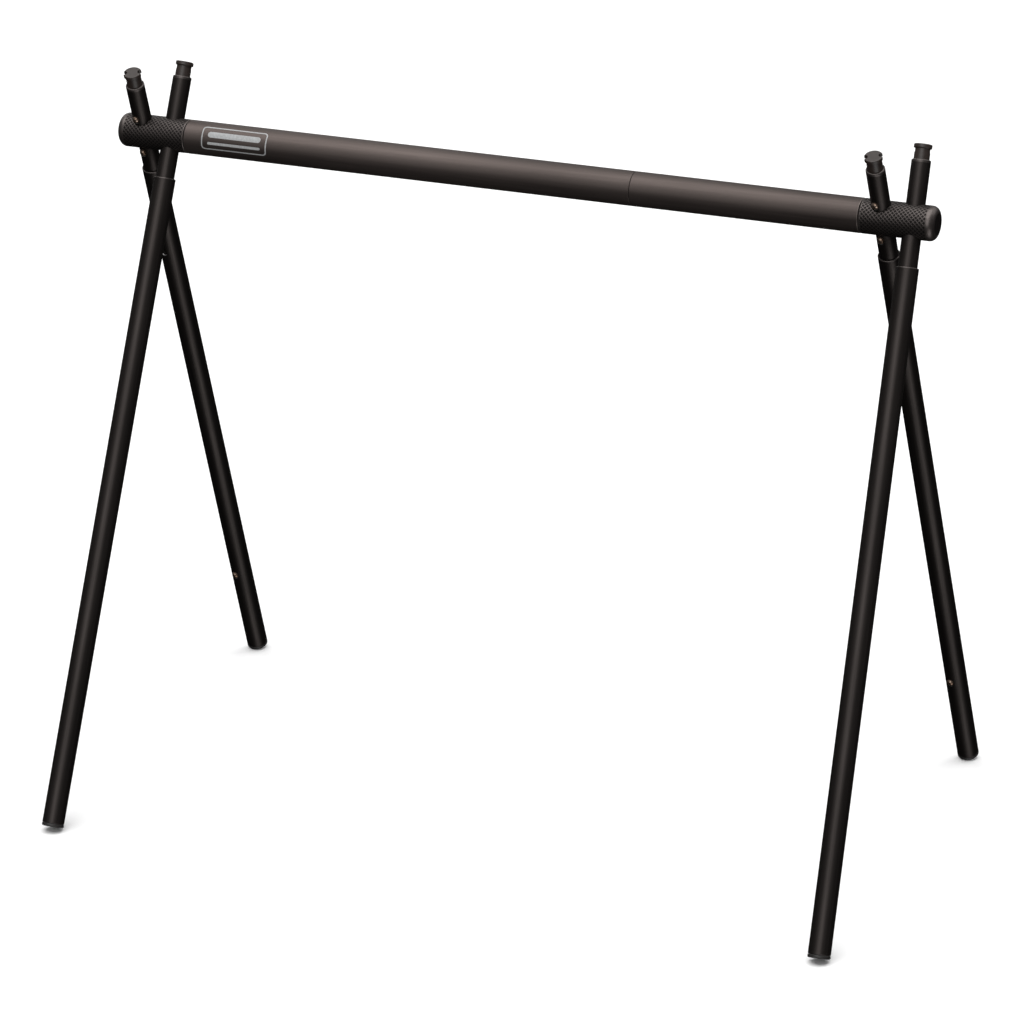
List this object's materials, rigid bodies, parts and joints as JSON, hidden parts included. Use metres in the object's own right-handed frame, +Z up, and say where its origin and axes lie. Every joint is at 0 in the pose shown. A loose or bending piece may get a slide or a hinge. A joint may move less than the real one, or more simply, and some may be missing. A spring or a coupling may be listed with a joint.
{
  "type": "portable A-frame rack",
  "caption": "Take-apart A-frame rack: a slim round crossbar with knurled end hubs, carried by crossed telescopic tube legs with snap buttons, tie-off caps and flat feet.",
  "frame": {"origin": "on the floor, below the middle of the crossbar between the hubs", "axes": "+X along the crossbar to its short section, +Z up, +Y away from the two front feet"},
  "size_m": [0.644, 0.4164, 0.5387],
  "materials": {
    "crossbar": "satin brown-grey anodised",
    "hub": "black anodised, diamond knurl",
    "leg": "satin black anodised",
    "cap": "moulded, fine matte",
    "foot": "moulded, matte",
    "clip": "bronzed spring steel",
    "thread": "bare turned metal"
  },
  "bodies": {
    "crossbar": {"crossbar_long_section": "crossbar", "crossbar_joiner": "thread", "left_hub_bush": "thread"},
    "short_section": {"crossbar_short_section": "crossbar", "short_section_bush": "thread", "right_hub_bush": "thread"},
    "left_hub": {"left_hub": "hub"},
    "right_hub": {"right_hub": "hub"},
    "left_front_leg": {"left_front_upper_tube": "leg", "left_front_cap": "cap"},
    "left_front_lower_leg": {"left_front_lower_tube": "leg", "left_front_foot": "foot"},
    "left_front_clip_above_hub": {"left_front_clip_above_hub": "clip"},
    "left_front_clip_below_hub": {"left_front_clip_below_hub": "clip"},
    "left_front_foot_clip": {"left_front_foot_clip": "clip"},
    "left_back_leg": {"left_back_upper_tube": "leg", "left_back_cap": "cap"},
    "left_back_lower_leg": {"left_back_lower_tube": "leg", "left_back_foot": "foot"},
    "left_back_clip_above_hub": {"left_back_clip_above_hub": "clip"},
    "left_back_clip_below_hub": {"left_back_clip_below_hub": "clip"},
    "left_back_foot_clip": {"left_back_foot_clip": "clip"},
    "right_front_leg": {"right_front_upper_tube": "leg", "right_front_cap": "cap"},
    "right_front_lower_leg": {"right_front_lower_tube": "leg", "right_front_foot": "foot"},
    "right_front_clip_above_hub": {"right_front_clip_above_hub": "clip"},
    "right_front_clip_below_hub": {"right_front_clip_below_hub": "clip"},
    "right_front_foot_clip": {"right_front_foot_clip": "clip"},
    "right_back_leg": {"right_back_upper_tube": "leg", "right_back_cap": "cap"},
    "right_back_lower_leg": {"right_back_lower_tube": "leg", "right_back_foot": "foot"},
    "right_back_clip_above_hub": {"right_back_clip_above_hub": "clip"},
    "right_back_clip_below_hub": {"right_back_clip_below_hub": "clip"},
    "right_back_foot_clip": {"right_back_foot_clip": "clip"}
  },
  "joints": [
    {"name": "short_section_unscrew", "type": "hinge", "parent": "crossbar", "child": "short_section", "pos_m": [0.091, 0, 0.48559], "axis": [1, 0, 0], "continuous": true},
    {"name": "left_hub_unscrew", "type": "hinge", "parent": "crossbar", "child": "left_hub", "pos_m": [-0.265, 0, 0.48559], "axis": [1, 0, 0], "continuous": true},
    {"name": "right_hub_unscrew", "type": "hinge", "parent": "short_section", "child": "right_hub", "pos_m": [0.265, 0, 0.48559], "axis": [1, 0, 0], "continuous": true},
    {"name": "left_front_leg_draw_out", "type": "slide", "parent": "left_hub", "child": "left_front_leg", "axis": [-0.0218, -0.3842, -0.923], "range_m": [0, 0.08], "deforming": ["left_front_clip_above_hub", "left_front_clip_below_hub"]},
    {"name": "left_front_lower_leg_extend", "type": "slide", "parent": "left_front_leg", "child": "left_front_lower_leg", "axis": [-0.0218, -0.3842, -0.923], "range_m": [0, 0.332], "deforming": ["left_front_foot_clip"]},
    {"name": "left_front_clip_above_hub_press", "type": "slide", "parent": "left_front_leg", "child": "left_front_clip_above_hub", "axis": [-0.2588, -0.8896, 0.3764], "range_m": [0, 0.0018], "stiffness_N_per_m": 1500},
    {"name": "left_front_clip_below_hub_press", "type": "slide", "parent": "left_front_leg", "child": "left_front_clip_below_hub", "axis": [-0.2588, -0.8896, 0.3764], "range_m": [0, 0.0018], "stiffness_N_per_m": 1500},
    {"name": "left_front_foot_clip_press", "type": "slide", "parent": "left_front_leg", "child": "left_front_foot_clip", "axis": [-0.2588, -0.8896, 0.3764], "range_m": [0, 0.0025], "stiffness_N_per_m": 1500},
    {"name": "left_back_leg_draw_out", "type": "slide", "parent": "left_hub", "child": "left_back_leg", "axis": [-0.0218, 0.3842, -0.923], "range_m": [0, 0.08], "deforming": ["left_back_clip_above_hub", "left_back_clip_below_hub"]},
    {"name": "left_back_lower_leg_extend", "type": "slide", "parent": "left_back_leg", "child": "left_back_lower_leg", "axis": [-0.0218, 0.3842, -0.923], "range_m": [0, 0.332], "deforming": ["left_back_foot_clip"]},
    {"name": "left_back_clip_above_hub_press", "type": "slide", "parent": "left_back_leg", "child": "left_back_clip_above_hub", "axis": [0.2588, 0.8939, 0.366], "range_m": [0, 0.0018], "stiffness_N_per_m": 1500},
    {"name": "left_back_clip_below_hub_press", "type": "slide", "parent": "left_back_leg", "child": "left_back_clip_below_hub", "axis": [0.2588, 0.8939, 0.366], "range_m": [0, 0.0018], "stiffness_N_per_m": 1500},
    {"name": "left_back_foot_clip_press", "type": "slide", "parent": "left_back_leg", "child": "left_back_foot_clip", "axis": [0.2588, 0.8939, 0.366], "range_m": [0, 0.0025], "stiffness_N_per_m": 1500},
    {"name": "right_front_leg_draw_out", "type": "slide", "parent": "right_hub", "child": "right_front_leg", "axis": [0.0218, -0.3842, -0.923], "range_m": [0, 0.08], "deforming": ["right_front_clip_above_hub", "right_front_clip_below_hub"]},
    {"name": "right_front_lower_leg_extend", "type": "slide", "parent": "right_front_leg", "child": "right_front_lower_leg", "axis": [0.0218, -0.3842, -0.923], "range_m": [0, 0.332], "deforming": ["right_front_foot_clip"]},
    {"name": "right_front_clip_above_hub_press", "type": "slide", "parent": "right_front_leg", "child": "right_front_clip_above_hub", "axis": [-0.2588, -0.8939, 0.366], "range_m": [0, 0.0018], "stiffness_N_per_m": 1500},
    {"name": "right_front_clip_below_hub_press", "type": "slide", "parent": "right_front_leg", "child": "right_front_clip_below_hub", "axis": [-0.2588, -0.8939, 0.366], "range_m": [0, 0.0018], "stiffness_N_per_m": 1500},
    {"name": "right_front_foot_clip_press", "type": "slide", "parent": "right_front_leg", "child": "right_front_foot_clip", "axis": [-0.2588, -0.8939, 0.366], "range_m": [0, 0.0025], "stiffness_N_per_m": 1500},
    {"name": "right_back_leg_draw_out", "type": "slide", "parent": "right_hub", "child": "right_back_leg", "axis": [0.0218, 0.3842, -0.923], "range_m": [0, 0.08], "deforming": ["right_back_clip_above_hub", "right_back_clip_below_hub"]},
    {"name": "right_back_lower_leg_extend", "type": "slide", "parent": "right_back_leg", "child": "right_back_lower_leg", "axis": [0.0218, 0.3842, -0.923], "range_m": [0, 0.332], "deforming": ["right_back_foot_clip"]},
    {"name": "right_back_clip_above_hub_press", "type": "slide", "parent": "right_back_leg", "child": "right_back_clip_above_hub", "axis": [0.2588, 0.8896, 0.3764], "range_m": [0, 0.0018], "stiffness_N_per_m": 1500},
    {"name": "right_back_clip_below_hub_press", "type": "slide", "parent": "right_back_leg", "child": "right_back_clip_below_hub", "axis": [0.2588, 0.8896, 0.3764], "range_m": [0, 0.0018], "stiffness_N_per_m": 1500},
    {"name": "right_back_foot_clip_press", "type": "slide", "parent": "right_back_leg", "child": "right_back_foot_clip", "axis": [0.2588, 0.8896, 0.3764], "range_m": [0, 0.0025], "stiffness_N_per_m": 1500}
  ]
}
